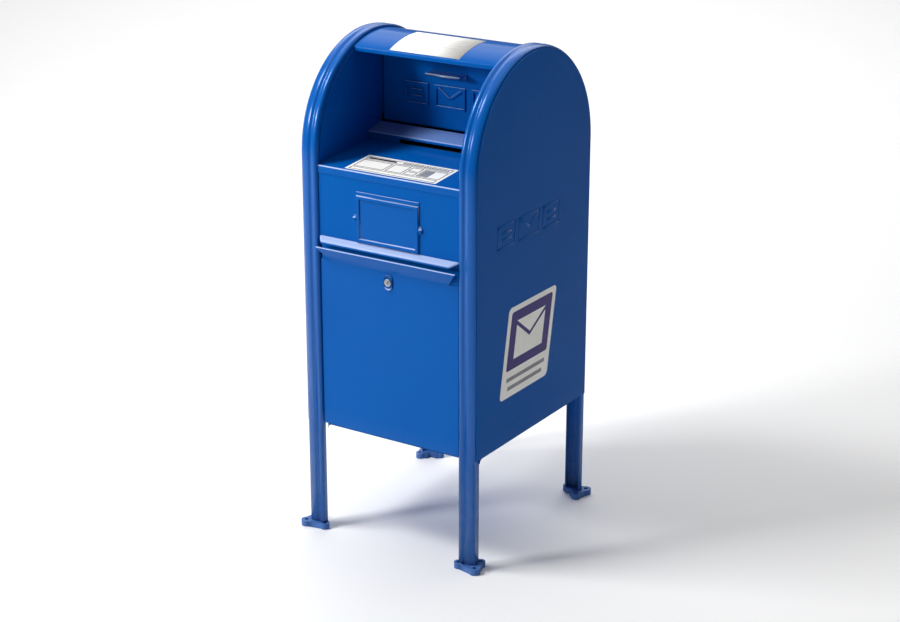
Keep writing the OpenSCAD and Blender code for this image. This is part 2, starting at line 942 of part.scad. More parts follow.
at_corner(-1, -1) leg();  // leg_front_left
at_corner(1, -1) leg();  // leg_front_right
at_corner(-1, 1) leg();  // leg_rear_left
at_corner(1, 1) leg();  // leg_rear_right
at_corner(-1, -1) foot();  // foot_front_left
at_corner(1, -1) foot();  // foot_front_right
at_corner(-1, 1) foot();  // foot_rear_left
at_corner(1, 1) foot();  // foot_rear_right
at_side(-1) arch_rim();  // arch_rim_left
at_side(1) arch_rim();  // arch_rim_right
at_side(-1) side_panel();  // side_panel_left
at_side(1) side_panel();  // side_panel_right
hood_cover();
back_panel();
floor_pan();
door_sill();
upper_front_panel();
shelf();
slot_plate();
slot_teeth();
at_side(-1) recess_wall();  // recess_wall_left
at_side(1) recess_wall();  // recess_wall_right
strike_bar();
at_side(-1) door_jamb();  // door_jamb_left
at_side(1) door_jamb();  // door_jamb_right
drip_ledge();
card_frame();
card_frame_studs();
anti_theft_baffle();
at_side(-1) pivot_bush();  // pivot_bush_left
at_side(1) pivot_bush();  // pivot_bush_right
hopper_bumpers();
door_bumpers();
hinge_fixed_leaf();
hinge_pin();
sill_rivets();
at_side(-1) side_decal();  // side_decal_left
at_side(1) side_decal();  // side_decal_right
shelf_label();
hood_label();
deposit_door();
pull_handle();
pull_handle_rivets();
at_side(-1) hopper_cheek();  // hopper_cheek_left
at_side(1) hopper_cheek();  // hopper_cheek_right
hopper_pan();
counterweight();
pivot_rod();
collection_door();
door_top_channel();
door_stiffener();
door_liner();
hinge_door_leaf();
door_rivets();
lock_escutcheon();
lock_body();
lock_nut();
lock_plug();
lock_cam();
cam_nut();
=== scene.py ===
"""Street mail collection box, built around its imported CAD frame."""
import json
import math

import bmesh
import bpy
from mathutils import Matrix, Vector

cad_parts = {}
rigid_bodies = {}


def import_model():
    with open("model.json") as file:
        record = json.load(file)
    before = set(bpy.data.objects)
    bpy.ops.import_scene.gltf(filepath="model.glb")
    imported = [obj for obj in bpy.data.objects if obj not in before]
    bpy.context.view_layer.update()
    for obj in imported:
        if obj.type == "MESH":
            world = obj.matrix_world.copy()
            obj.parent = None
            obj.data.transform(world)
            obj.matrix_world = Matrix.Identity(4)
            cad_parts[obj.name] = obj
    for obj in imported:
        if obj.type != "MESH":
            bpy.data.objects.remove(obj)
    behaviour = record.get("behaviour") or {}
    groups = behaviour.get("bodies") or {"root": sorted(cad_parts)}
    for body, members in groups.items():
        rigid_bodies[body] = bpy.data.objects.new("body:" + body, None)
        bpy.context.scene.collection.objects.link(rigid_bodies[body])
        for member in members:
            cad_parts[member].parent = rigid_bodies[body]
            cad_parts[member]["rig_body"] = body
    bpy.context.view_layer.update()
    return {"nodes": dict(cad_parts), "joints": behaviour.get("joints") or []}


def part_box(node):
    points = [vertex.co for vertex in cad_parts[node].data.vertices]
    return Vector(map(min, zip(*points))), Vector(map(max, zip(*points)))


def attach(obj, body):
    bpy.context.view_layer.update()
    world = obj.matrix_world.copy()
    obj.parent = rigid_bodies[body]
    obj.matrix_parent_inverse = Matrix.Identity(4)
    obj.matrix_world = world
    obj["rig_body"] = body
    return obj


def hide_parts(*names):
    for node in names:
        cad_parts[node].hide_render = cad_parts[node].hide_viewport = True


bl_info = {
    "name": "Mail Collection Box",
    "version": (1, 0, 0),
    "blender": (4, 5, 0),
    "location": "View3D > Sidebar > Mailbox",
    "description": "Builds the sheet, labels and castings of a street mail collection box",
    "category": "Object",
}

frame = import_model()
MM = 0.001

RIM_LOW, RIM_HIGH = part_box("arch_rim_right")
LEG_LOW, LEG_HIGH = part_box("leg_front_right")
SKIN_LOW, SKIN_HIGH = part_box("collection_door")
PANEL_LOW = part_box("upper_front_panel")[0]
SHELF_LOW, SHELF_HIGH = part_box("shelf")
HOOD_LOW, HOOD_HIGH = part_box("hood_cover")
HOPPER_LOW, HOPPER_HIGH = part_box("deposit_door")
CARD_LOW, CARD_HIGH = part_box("card_frame")
LEDGE_LOW, LEDGE_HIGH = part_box("drip_ledge")
RING_LOW, RING_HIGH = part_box("lock_escutcheon")
SIDE_WALL_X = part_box("side_panel_right")[1].x

SHELF_SLOPE = math.radians(5)
SHELF_FLANGE = 19 * MM
SHELF_DEPTH = 229 * MM

# Pale blue of the painted highlight on folds that face half up.
PAINTED_HIGHLIGHT_BLUE = "#c3d4f6"
GLOSS_TINT = "#c4d6ff"


# --- small tools -------------------------------------------------------------

def linear(hex_colour):
    """An sRGB hex colour as the linear RGBA that a shader takes."""
    parts = [int(hex_colour[i:i + 2], 16) / 255 for i in (1, 3, 5)]
    return [c / 12.92 if c <= 0.04045 else ((c + 0.055) / 1.055) ** 2.4 for c in parts] + [1.0]


def add_node(tree, kind, inputs=None, **settings):
    """Adds a node, sets its properties, and sets or links each named input."""
    made = tree.nodes.new(kind)
    for key, value in settings.items():
        setattr(made, key, value)
    for key, value in (inputs or {}).items():
        if isinstance(value, bpy.types.NodeSocket):
            tree.links.new(value, made.inputs[key])
        else:
            made.inputs[key].default_value = value
    return made


def chain(bm, points):
    """A row of vertices joined by edges."""
    verts = [bm.verts.new(p) for p in points]
    return verts, [bm.edges.new(pair) for pair in zip(verts, verts[1:])]


def only(made, kind):
    """The parts of one kind among what an operator made."""
    return [part for part in made if isinstance(part, kind)]


def pull(bm, edges, move):
    """Extrudes edges into faces, moves the new row, and returns its edges."""
    made = bmesh.ops.extrude_edge_only(bm, edges=edges)["geom"]
    bmesh.ops.translate(bm, verts=only(made, bmesh.types.BMVert), vec=move)
    return only(made, bmesh.types.BMEdge)


def raise_face(bm, corners, move):
    """A face from its corners, extruded along move. Returns what the extrusion made."""
    face = bm.faces.new([bm.verts.new(c) for c in corners])
    made = bmesh.ops.extrude_face_region(bm, geom=[face])["geom"]
    bmesh.ops.translate(bm, verts=only(made, bmesh.types.BMVert), vec=move)
    return made


def round_edges(bm, edges, width, steps, clamp=False):
    """Bevels edges with a round profile."""
    if edges:
        bmesh.ops.bevel(bm, geom=edges, offset=width, affect="EDGES", segments=steps,
                        profile=0.5, material=-1, clamp_overlap=clamp)


def sharp_edges(bm, least):
    """The edges between two faces that meet at more than least degrees."""
    return [e for e in bm.edges
            if len(e.link_faces) == 2 and e.calc_face_angle(0) > math.radians(least)]


def fold(bm, radius, steps=5, least=12):
    """Rounds every fold of an open sheet."""
    round_edges(bm, sharp_edges(bm, least), radius, steps)


def soften(bm, width, steps=2, least=40):
    """Rounds every sharp edge of a solid, without running one into the next."""
    round_edges(bm, sharp_edges(bm, least), width, steps, clamp=True)


def face_away(bm, centre):
    """Turns an open sheet's faces so that they look away from centre."""
    bmesh.ops.recalc_face_normals(bm, faces=bm.faces)
    centre = Vector(centre)
    lean = sum(f.calc_area() * f.normal.dot((f.calc_center_median() - centre).normalized())
               for f in bm.faces)
    if lean < 0:
        bmesh.ops.reverse_faces(bm, faces=bm.faces)


def finish_piece(bm, name, body, finish, stands_for=(), wall=0.0, edge=0.0, steps=2,
                 angle=35, broad=0.0015):
    """Makes the mesh a shaded piece that rides on its body, with its wall and softened edges.
    Faces over the broad area, in square metres, are flat sheet and keep one normal."""
    mesh = bpy.data.meshes.new(name)
    bm.to_mesh(mesh)
    bm.free()
    mesh.set_sharp_from_angle(angle=math.radians(angle))
    for face in mesh.polygons:
        face.use_smooth = face.area < broad
    piece = bpy.data.objects.new(name, mesh)
    bpy.context.scene.collection.objects.link(piece)
    if wall:
        made = piece.modifiers.new("Sheet", "SOLIDIFY")
        made.thickness = wall
        made.offset = -1
    if edge:
        made = piece.modifiers.new("Soft edges", "BEVEL")
        made.width = edge
        made.segments = steps
        made.limit_method = "ANGLE"
        made.use_clamp_overlap = True
        made.angle_limit = math.radians(angle)
        made.harden_normals = True
    mesh.materials.append(finish_of(finish))
    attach(piece, body)
    if stands_for:
        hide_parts(*stands_for)
    return piece


def copy_of(node, weld):
    """A merged copy of a CAD node's mesh, with its flat faces joined."""
    bm = bmesh.new()
    bm.from_mesh(frame["nodes"][node].data)
    bmesh.ops.remove_doubles(bm, verts=bm.verts, dist=weld)
    bmesh.ops.dissolve_limit(bm, angle_limit=math.radians(1), verts=bm.verts, edges=bm.edges)
    return bm


def slab(bm, corners, thickness, along):
    """A flat plate: a face from its corners, extruded by thickness along a direction."""
    raise_face(bm, corners, Vector(along).normalized() * thickness)


# --- finishes ----------------------------------------------------------------

# Sizes of the patterns. The wide ones were set to a size that such a finish can have.
# The fine ones are really too fine to show: each line gives the estimated real size, and the
# pattern is drawn coarser.
SPRAY_DRIFT = 312.5 * MM   # the colour drifts between the passes of the spray gun
SHEET_WAVE = 182 * MM      # shallow waves that rolling and folding leave in thin sheet
DUST_PATCH = 21.7 * MM     # road dust dries in patches
SCUFF = 5.26 * MM          # small scuffs and chips
DUST_TOP = 0.34            # metres above the ground up to which dust shows
ORANGE_PEEL = 3.0 * MM     # really about 1 to 2 mm
CAST_GRAIN = 3.5 * MM      # the print of moulding sand, really about 0.5 mm
STAIN = 16.7 * MM          # dull water stains on plating
PLATE_BRUSH = 0.8 * MM     # rolling marks, really about 0.1 mm
TURNED_BRUSH = 0.5 * MM    # turning marks, really about 0.1 mm
MOTTLE = 45.5 * MM         # a film lies unevenly on its glue
FILM_GRAIN = 0.6 * MM      # really about 0.2 mm
RUBBER_GRAIN = 0.9 * MM    # the print of the mould, really about 0.3 mm
NYLON_GRAIN = 0.7 * MM     # turning marks, really about 0.2 mm


def begin_material(name):
    """A material with an empty node tree. Returns it with its tree and its coordinates."""
    material = bpy.data.materials.new(name)
    material.use_nodes = True
    tree = material.node_tree
    tree.nodes.clear()
    return material, tree, add_node(tree, "ShaderNodeTexCoord").outputs


def end_material(tree, settings):
    """The shader with its sockets set or linked, and the output."""
    shader = add_node(tree, "ShaderNodeBsdfPrincipled", settings)
    add_node(tree, "ShaderNodeOutputMaterial", {"Surface": shader.outputs["BSDF"]})


def enamel(name, main, deep, dust, roughness, grain_size=ORANGE_PEEL, peel=0.05, waves=0.25,
           worn=0.0, painted_highlight=0.0, ior=1.13):
    """Stove enamel sprayed on sheet steel: an even colour under a clear gloss, with the
    slight orange peel of the spray, long shallow waves of the sheet and a little dust low down.
    Where worn is set, small scuffs show. Where painted_highlight is set, the folds that face half
    up are painted paler: a painted highlight in place of the gloss lines of the lamps. The typical
    IOR is 1.5. It is kept lower, because the pale floor would otherwise bleach the blue."""
    material, tree, coords = begin_material(name)
    place = coords["Object"]
    cloud = add_node(tree, "ShaderNodeTexNoise", {
        "Vector": place, "Scale": 1 / SPRAY_DRIFT, "Detail": 3.0, "Roughness": 0.55})
    drift = add_node(tree, "ShaderNodeMapRange", {
        "Value": cloud.outputs["Fac"], "From Min": 0.35, "From Max": 0.7,
        "To Min": 0.0, "To Max": 0.55})
    tint = add_node(tree, "ShaderNodeMix", {
        "Factor": drift.outputs["Result"], "A": linear(main), "B": linear(deep)},
        data_type="RGBA")

    height = add_node(tree, "ShaderNodeSeparateXYZ", {"Vector": place}).outputs["Z"]
    speck = add_node(tree, "ShaderNodeTexNoise", {
        "Vector": place, "Scale": 1 / DUST_PATCH, "Detail": 6.0, "Roughness": 0.7})
    low = add_node(tree, "ShaderNodeMapRange", {
        "Value": height, "From Min": DUST_TOP, "From Max": 0.0, "To Min": 0.0, "To Max": 0.55})
    dusty = add_node(tree, "ShaderNodeMath", {
        0: low.outputs["Result"], 1: speck.outputs["Fac"]}, operation="MULTIPLY")
    colour = add_node(tree, "ShaderNodeMix", {
        "Factor": dusty.outputs["Value"], "A": tint.outputs["Result"], "B": linear(dust)},
        data_type="RGBA")

    scuff = add_node(tree, "ShaderNodeTexNoise", {
        "Vector": place, "Scale": 1 / SCUFF, "Detail": 4.0, "Roughness": 0.6})
    scuffed = add_node(tree, "ShaderNodeMapRange", {
        "Value": scuff.outputs["Fac"], "From Min": 0.68, "From Max": 0.78,
        "To Min": 0.0, "To Max": worn})
    colour = add_node(tree, "ShaderNodeMix", {
        "Factor": scuffed.outputs["Result"], "A": colour.outputs["Result"], "B": linear(dust)},
        data_type="RGBA")

    # Painted highlight: where the normal faces half up, as on folds, the colour is mixed towards
    # pale blue in place of the lamps' gloss lines.
    tilt = add_node(tree, "ShaderNodeSeparateXYZ", {"Vector": coords["Normal"]}).outputs["Z"]
    rise = add_node(tree, "ShaderNodeMapRange", {
        "Value": tilt, "From Min": 0.22, "From Max": 0.5, "To Min": 0.0, "To Max": 1.0})
    fall = add_node(tree, "ShaderNodeMapRange", {
        "Value": tilt, "From Min": 0.95, "From Max": 0.985, "To Min": painted_highlight, "To Max": 0.0})
    painted_highlight_mask = add_node(tree, "ShaderNodeMath", {
        0: rise.outputs["Result"], 1: fall.outputs["Result"]}, operation="MULTIPLY")
    colour = add_node(tree, "ShaderNodeMix", {
        "Factor": painted_highlight_mask.outputs["Value"], "A": colour.outputs["Result"],
        "B": linear(PAINTED_HIGHLIGHT_BLUE)}, data_type="RGBA")

    gloss = add_node(tree, "ShaderNodeMapRange", {
        "Value": speck.outputs["Fac"], "From Min": 0.3, "From Max": 0.7,
        "To Min": roughness - 0.02, "To Max": roughness + 0.03})
    ripple = add_node(tree, "ShaderNodeTexNoise", {
        "Vector": place, "Scale": 1 / SHEET_WAVE, "Detail": 0.5})
    long_bump = add_node(tree, "ShaderNodeBump", {
        "Height": ripple.outputs["Fac"], "Strength": waves, "Distance": 6 * MM})
    grain = add_node(tree, "ShaderNodeTexNoise", {
        "Vector": place, "Scale": 1 / grain_size, "Detail": 1.5})
    bump = add_node(tree, "ShaderNodeBump", {
        "Height": grain.outputs["Fac"], "Strength": peel, "Distance": 0.25 * MM,
        "Normal": long_bump.outputs["Normal"]})
    end_material(tree, {
        "Base Color": colour.outputs["Result"], "Roughness": gloss.outputs["Result"],
        "Normal": bump.outputs["Normal"], "IOR": ior, "Specular Tint": linear(GLOSS_TINT)})
    return material


def plated(name, main, stain, brush_size, roughness, stretch=(1, 1, 12)):
    """Rolled or turned metal: fine directional brushing with dull stains between the bright."""
    material, tree, coords = begin_material(name)
    place = coords["Object"]
    drawn = add_node(tree, "ShaderNodeMapping", {"Vector": place, "Scale": stretch})
    brush = add_node(tree, "ShaderNodeTexNoise", {
        "Vector": drawn.outputs["Vector"], "Scale": 1 / brush_size, "Detail": 2.0})
    stains = add_node(tree, "ShaderNodeTexNoise", {
        "Vector": place, "Scale": 1 / STAIN, "Detail": 5.0})
    colour = add_node(tree, "ShaderNodeMix", {
        "Factor": stains.outputs["Fac"], "A": linear(main), "B": linear(stain)},
        data_type="RGBA")
    gloss = add_node(tree, "ShaderNodeMapRange", {
        "Value": brush.outputs["Fac"], "From Min": 0.3, "From Max": 0.7,
        "To Min": roughness - 0.06, "To Max": roughness + 0.12})
    bump = add_node(tree, "ShaderNodeBump", {
        "Height": brush.outputs["Fac"], "Strength": 0.15, "Distance": 0.1 * MM})
    end_material(tree, {
        "Base Color": colour.outputs["Result"], "Roughness": gloss.outputs["Result"],
        "Normal": bump.outputs["Normal"], "Metallic": 1.0})
    return material


def moulded(name, main, mottle, grain_size, roughness, relief=0.2):
    """Moulded or printed surface: matt, with a fine grain and faint mottling. The typical IOR
    is 1.45. It is kept lower, so that the dark ones stay dark beside the pale floor."""
    material, tree, coords = begin_material(name)
    place = coords["Object"]
    blotch = add_node(tree, "ShaderNodeTexNoise", {
        "Vector": place, "Scale": 1 / MOTTLE, "Detail": 5.0})
    spread = add_node(tree, "ShaderNodeMapRange", {
        "Value": blotch.outputs["Fac"], "From Min": 0.4, "From Max": 0.75,
        "To Min": 0.0, "To Max": 0.6})
    colour = add_node(tree, "ShaderNodeMix", {
        "Factor": spread.outputs["Result"], "A": linear(main), "B": linear(mottle)},
        data_type="RGBA")
    grain = add_node(tree, "ShaderNodeTexNoise", {
        "Vector": place, "Scale": 1 / grain_size, "Detail": 2.0})
    bump = add_node(tree, "ShaderNodeBump", {
        "Height": grain.outputs["Fac"], "Strength": relief, "Distance": 0.1 * MM})
    gloss = add_node(tree, "ShaderNodeMapRange", {
        "Value": grain.outputs["Fac"], "From Min": 0.3, "From Max": 0.7,
        "To Min": roughness - 0.04, "To Max": roughness + 0.06})
    end_material(tree, {
        "Base Color": colour.outputs["Result"], "Roughness": gloss.outputs["Result"],
        "Normal": bump.outputs["Normal"], "IOR": 1.3})
    return material


FINISHES = {}


def finish_of(key):
    """The finish with this key, made once from the colours in the settings."""
    if key in FINISHES:
        return FINISHES[key]
    colours = bpy.context.scene.mailbox_colours
    blue = (colours.enamel, colours.enamel_deep, colours.dust)
    makers = {
        # Sprayed and stoved on flat sheet: deep even blue with a soft sheen.
        "enamel": lambda: enamel("Stove enamel, blue", *blue, 0.16),
        # The same coat on the rolled rims, where the full gloss shows as bright lines.
        "pressed": lambda: enamel("Stove enamel, blue, pressed rim", *blue, 0.2, waves=0.15,
                                  ior=1.42),
        # The same coat with a painted highlight: its folds that face half up are painted as pale
        # lines.
        "folded": lambda: enamel("Stove enamel, blue, painted fold highlights", *blue, 0.16, painted_highlight=0.7,
                                 ior=1.2),
        # The same coat inside the recess: a flatter blue, with a weaker painted highlight on its
        # folds that face half up.
        "recess": lambda: enamel("Stove enamel, blue, inner sheet", *blue, 0.2, waves=0.12,
                                 painted_highlight=0.45),
        # Enamel over sand-cast iron: pebbly, duller, with small scuffs.
        "casting": lambda: enamel("Stove enamel on cast iron", *blue, 0.42,
                                  grain_size=CAST_GRAIN, peel=0.3, waves=0.5, worn=0.12,
                                  ior=1.35),
        # Zinc plating: a cool grey metal with dull stains.
        "zinc": lambda: plated("Zinc-plated steel", "#b4b8bb", "#8d9195", PLATE_BRUSH, 0.38),
        # Nearly black steel with a faint dry sheen: painted shade, so that the slot teeth read as
        # dark as the shade inside the slot.
        "slot_shade_black_steel": lambda: plated("Steel, black as painted shade", "#26272a", "#191a1c",
                                      PLATE_BRUSH, 0.5),
        # Turned brass under nickel: a small bright spot on the lock, dulled by keys.
        "brass": lambda: plated("Nickel-plated brass, worn", "#b7babd", "#83827c",
                                TURNED_BRUSH, 0.3),
        # White vinyl film, printed: matt white, a little warm.
        "paper": lambda: moulded("Printed vinyl, white", "#f9f8f4", "#efede6", FILM_GRAIN, 0.45),
        # Screen-printed inks on the film: flat tones, a touch glossier than the vinyl.
        "ink": lambda: moulded("Printed ink, black", "#23242a", "#34353c", FILM_GRAIN, 0.4),
        "grey_ink": lambda: moulded("Printed ink, grey", "#8d8f96", "#7a7c84", FILM_GRAIN, 0.4),
        "faint_ink": lambda: moulded("Printed ink, pale grey", "#d9d8d6", "#cfcecc",
                                     FILM_GRAIN, 0.42),
        "violet_ink": lambda: moulded("Printed ink, violet", colours.emblem, "#2a1a5c",
                                      FILM_GRAIN, 0.35),
        # Moulded rubber bumpers: dull black with no clear highlight.
        "rubber": lambda: moulded("Moulded rubber, black", "#232427", "#303236", RUBBER_GRAIN,
                                  0.75, 0.4),
        # Turned nylon bushes: black with a waxy sheen.
        "nylon": lambda: moulded("Turned nylon, black", "#1c1d20", "#2a2b2f", NYLON_GRAIN, 0.45),
    }
    FINISHES[key] = makers[key]()
    return FINISHES[key]


# --- settings ----------------------------------------------------------------

class MailboxSizes(bpy.types.PropertyGroup):
    """Sizes of the finished sheet that the CAD frame leaves open."""
    ridge: bpy.props.FloatProperty(
        name="Ridge radius", description="Radius of the rim's rolled inner ridge",
        default=8 * MM, min=4 * MM, max=12 * MM, unit="LENGTH")
    valley: bpy.props.FloatProperty(
        name="Valley depth", description="Depth of the rim's shallow valley",
        default=2.6 * MM, min=0, max=5 * MM, unit="LENGTH")
    fold_radius: bpy.props.FloatProperty(
        name="Fold radius", description="Radius of the folds in the thin sheet",
        default=3.2 * MM, min=0.5 * MM, max=6 * MM, unit="LENGTH")
    relief: bpy.props.FloatProperty(
        name="Relief height", description="Height of the pressed envelope sign",
        default=4.2 * MM, min=0.5 * MM, max=6 * MM, unit="LENGTH")
    edge: bpy.props.FloatProperty(
        name="Edge softening", description="Width of the softened sheet edges",
        default=0.7 * MM, min=0.1 * MM, max=2 * MM, unit="LENGTH")


class MailboxColours(bpy.types.PropertyGroup):
    """Colours of the finishes, as sRGB hex values."""
    enamel: bpy.props.StringProperty(
        name="Enamel", description="Main colour of the enamel", default="#0358aa")
    enamel_deep: bpy.props.StringProperty(
        name="Enamel, deep", description="Deeper tone that the enamel drifts to",
        default="#0252a2")
    dust: bpy.props.StringProperty(
        name="Dust", description="Colour of the dust near the ground", default="#7f93ad")
    emblem: bpy.props.StringProperty(
        name="Emblem", description="Field colour of the side decals", default="#2a1578")


# --- pieces ------------------------------------------------------------------

class MAILBOX_OT_rims(bpy.types.Operator):
    """Bends each leg-and-arch rim from one pressed strip"""
    bl_idname = "mailbox.rims"
    bl_label = "Leg and arch rims"

    def execute(self, context):
        sizes = context.scene.mailbox_sizes
        centre_z = RIM_LOW.z
        radius = RIM_HIGH.y
        inner, outer = RIM_LOW.x, RIM_HIGH.x
        side_depth = LEG_HIGH.y - LEG_LOW.y
        r = sizes.ridge
        inner_return = 16 * MM
        start, end = r + 2 * MM, 27 * MM
        band, fall = outer - inner - end, 8 * MM
        # The strip's section, from the inner return over the ridge and the valley outwards.
        line = [(0, inner_return)]
        line += [(r - r * math.cos(t * math.pi / 16), r - r * math.sin(t * math.pi / 16))
                 for t in range(9)]
        line += [(start + (end - start) * t / 12,
                  sizes.valley * (1 - math.cos(math.tau * t / 12)) / 2) for t in range(13)]
        line += [(end + band * math.sin(t * math.pi / 20), fall - fall * math.cos(t * math.pi / 20))
                 for t in range(1, 11)]
        line += [(outer - inner, side_depth)]
        for side, word in ((-1, "left"), (1, "right")):
            bm = bmesh.new()
            _, edges = chain(bm, [(side * (inner + u), -(radius - v), LEG_LOW.z) for u, v in line])
            edges = pull(bm, edges, (0, 0, centre_z - LEG_LOW.z))
            verts = list({v for e in edges for v in e.verts})
            made = bmesh.ops.spin(bm, geom=verts + edges, cent=(0, 0, centre_z), axis=(1, 0, 0),
                                  dvec=(0, 0, 0), angle=-math.pi, steps=72, use_merge=False)
            last = only(made["geom_last"], bmesh.types.BMEdge)
            pull(bm, last, (0, 0, LEG_LOW.z - centre_z))
            face_away(bm, (side * (inner + outer) / 2, 0, 0.6))
            finish_piece(bm, f"rim_strip_{word}", "cabinet", "pressed",
                         [f"arch_rim_{word}", f"leg_front_{word}", f"leg_rear_{word}"],
                         wall=2.5 * MM, broad=1.0)
        return {"FINISHED"}


class MAILBOX_OT_hood(bpy.types.Operator):
    """Rolls the hood over the top, with its turned-down front lip"""
    bl_idname = "mailbox.hood"
    bl_label = "Hood"

    def execute(self, context):
        sizes = context.scene.mailbox_sizes
        radius = HOOD_HIGH.y
        front = -HOOD_LOW.y
        sweep = math.pi / 2 + math.asin(front / radius)
        centre_z = RIM_LOW.z
        lip, hem, hem_rise = 13 * MM, 5 * MM, 1 * MM
        bm = bmesh.new()
        _, edges = chain(bm, [(HOOD_LOW.x * (1 - t / 4), radius, centre_z) for t in range(9)])
        verts = list({v for e in edges for v in e.verts})
        made = bmesh.ops.spin(bm, geom=verts + edges, cent=(0, 0, centre_z), axis=(1, 0, 0),
                              dvec=(0, 0, 0), angle=sweep, steps=60, use_merge=False)
        last = only(made["geom_last"], bmesh.types.BMEdge)
        last = pull(bm, last, (0, 0, -lip))
        pull(bm, last, (0, hem, hem_rise))
        fold(bm, sizes.fold_radius * 1.2, 5, 25)
        face_away(bm, (0, 0, centre_z))
        finish_piece(bm, "hood_sheet", "cabinet", "enamel",
                     ["hood_cover"], wall=2.5 * MM, edge=sizes.edge)
        return {"FINISHED"}


def on_shelf(run, x, lift):
    """A point on the shelf: run back from its front fold, lift over its top face."""
    along, up = math.cos(SHELF_SLOPE), math.sin(SHELF_SLOPE)
    return Vector((x, SHELF_LOW.y + run * along - lift * up,
                   SHELF_LOW.z + SHELF_FLANGE + run * up + lift * along))


class MAILBOX_OT_shelf(bpy.types.Operator):
    """Folds the sloping shelf and the slot plate behind it"""
    bl_idname = "mailbox.shelf"
    bl_label = "Shelf and slot plate"

    def execute(self, context):
        sizes = context.scene.mailbox_sizes
        half = SHELF_HIGH.x
        back_drop = 11 * MM
        fold_y, fold_z = on_shelf(0, 0, 0).yz
        bm = bmesh.new()
        _, edges = chain(bm, [(-half, fold_y, SHELF_LOW.z), on_shelf(0, -half, 0),
                              on_shelf(SHELF_DEPTH, -half, 0),
                              on_shelf(SHELF_DEPTH, -half, -back_drop)])
        pull(bm, edges, (2 * half, 0, 0))
        fold(bm, sizes.fold_radius, 5)
        face_away(bm, (0, fold_y + 0.1, fold_z - 0.2))
        finish_piece(bm, "shelf_sheet", "cabinet", "folded", ["shelf"],
                     wall=2 * MM, edge=sizes.edge)

        slot_half, slot_top = 111 * MM, 12 * MM
        run, tall, tilt = 218 * MM, 20 * MM, SHELF_SLOPE + math.radians(10)
        riser_foot, riser_top = on_shelf(run, -half, 0), on_shelf(run, -half, tall)
        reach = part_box("slot_plate")[1].y - riser_top.y
        back = riser_top + Vector((0, reach, reach * math.tan(tilt)))
        near_riser = riser_foot.y + 2 * MM
        bm = bmesh.new()
        _, edges = chain(bm, [riser_foot, riser_top, back])
        pull(bm, edges, (2 * half, 0, 0))
        for x in (-slot_half, slot_half):
            bmesh.ops.bisect_plane(bm, geom=bm.verts[:] + bm.edges[:] + bm.faces[:],
                                   plane_co=(x, 0, 0), plane_no=(1, 0, 0))
        riser = [f for f in bm.faces if f.calc_center_median().y < near_riser]
        cut = {v for f in riser for v in f.verts} | {e for f in riser for e in f.edges} | set(riser)
        bmesh.ops.bisect_plane(bm, geom=list(cut), plane_co=on_shelf(run, 0, slot_top),
                               plane_no=(0, -math.sin(SHELF_SLOPE), math.cos(SHELF_SLOPE)))
        under = on_shelf(run, 0, slot_top - 1 * MM).z
        hole = [f for f in bm.faces if abs(f.calc_center_median().x) < slot_half
                and f.calc_center_median().z < under and f.calc_center_median().y < near_riser]
        bmesh.ops.delete(bm, geom=hole, context="FACES")
        fold(bm, sizes.fold_radius, 5, 30)
        face_away(bm, (0, 0.05, fold_z - 0.1))
        finish_piece(bm, "slot_plate_sheet", "cabinet", "recess",
                     ["slot_plate"], wall=2 * MM, edge=sizes.edge)
        return {"FINISHED"}


class MAILBOX_OT_deposit_door(bpy.types.Operator):
    """Folds the hopper's door round its pivot, with a pressed envelope sign"""
    bl_idname = "mailbox.deposit_door"
    bl_label = "Deposit door"

    def execute(self, context):
        sizes = context.scene.mailbox_sizes
        half = HOPPER_HIGH.x
        joint = next(j for j in frame["joints"] if j["name"] == "hopper_hinge")
        _, pivot_y, pivot_z = joint["pos_m"]
        curl = pivot_z - HOPPER_LOW.z
        face_y, back_y, top = HOPPER_LOW.y, HOPPER_HIGH.y, HOPPER_HIGH.z
        top_fold = 12 * MM
        sign_rise, sign_tall = 76 * MM, 52 * MM
        bm = bmesh.new()
        line = [(face_y + top_fold, top), (face_y, top)]
        line += [(pivot_y - curl * math.cos(t * math.pi / 8),
                  pivot_z - curl * math.sin(t * math.pi / 8)) for t in range(0, 13)]
        _, edges = chain(bm, [(-half, y, z) for y, z in line])
        pull(bm, edges, (2 * half, 0, 0))
        fold(bm, sizes.fold_radius, 5, 40)
        face_away(bm, (0, back_y + 0.02, (top + pivot_z) / 2))
        finish_piece(bm, "deposit_door_sheet", "hopper", "recess",
                     ["deposit_door"], wall=2 * MM, edge=sizes.edge)
        bm = bmesh.new()
        for x, wide in ((0, 84 * MM), (-98 * MM, 62 * MM), (98 * MM, 62 * MM)):
            raise_sign(bm, (x, face_y, pivot_z + sign_rise), wide, sign_tall, sizes.relief,
                       (0, -1, 0), x == 0)
        finish_piece(bm, "deposit_door_sign", "hopper", "recess",
                     edge=1.8 * MM, steps=3)
        return {"FINISHED"}


def bar(bm, start, end, width, rise, out):
    """A raised rib from start to end, standing out along a direction, smaller at its crest."""
    crest = 0.94
    across = (end - start).normalized().cross(out).normalized() * width / 2
    made = raise_face(bm, [start - across, end - across, end + across, start + across],
                      out * rise)
    bmesh.ops.scale(bm, verts=only(made, bmesh.types.BMVert), vec=(crest, crest, crest),
                    space=Matrix.Translation(-((start + end) / 2 + out * rise)))


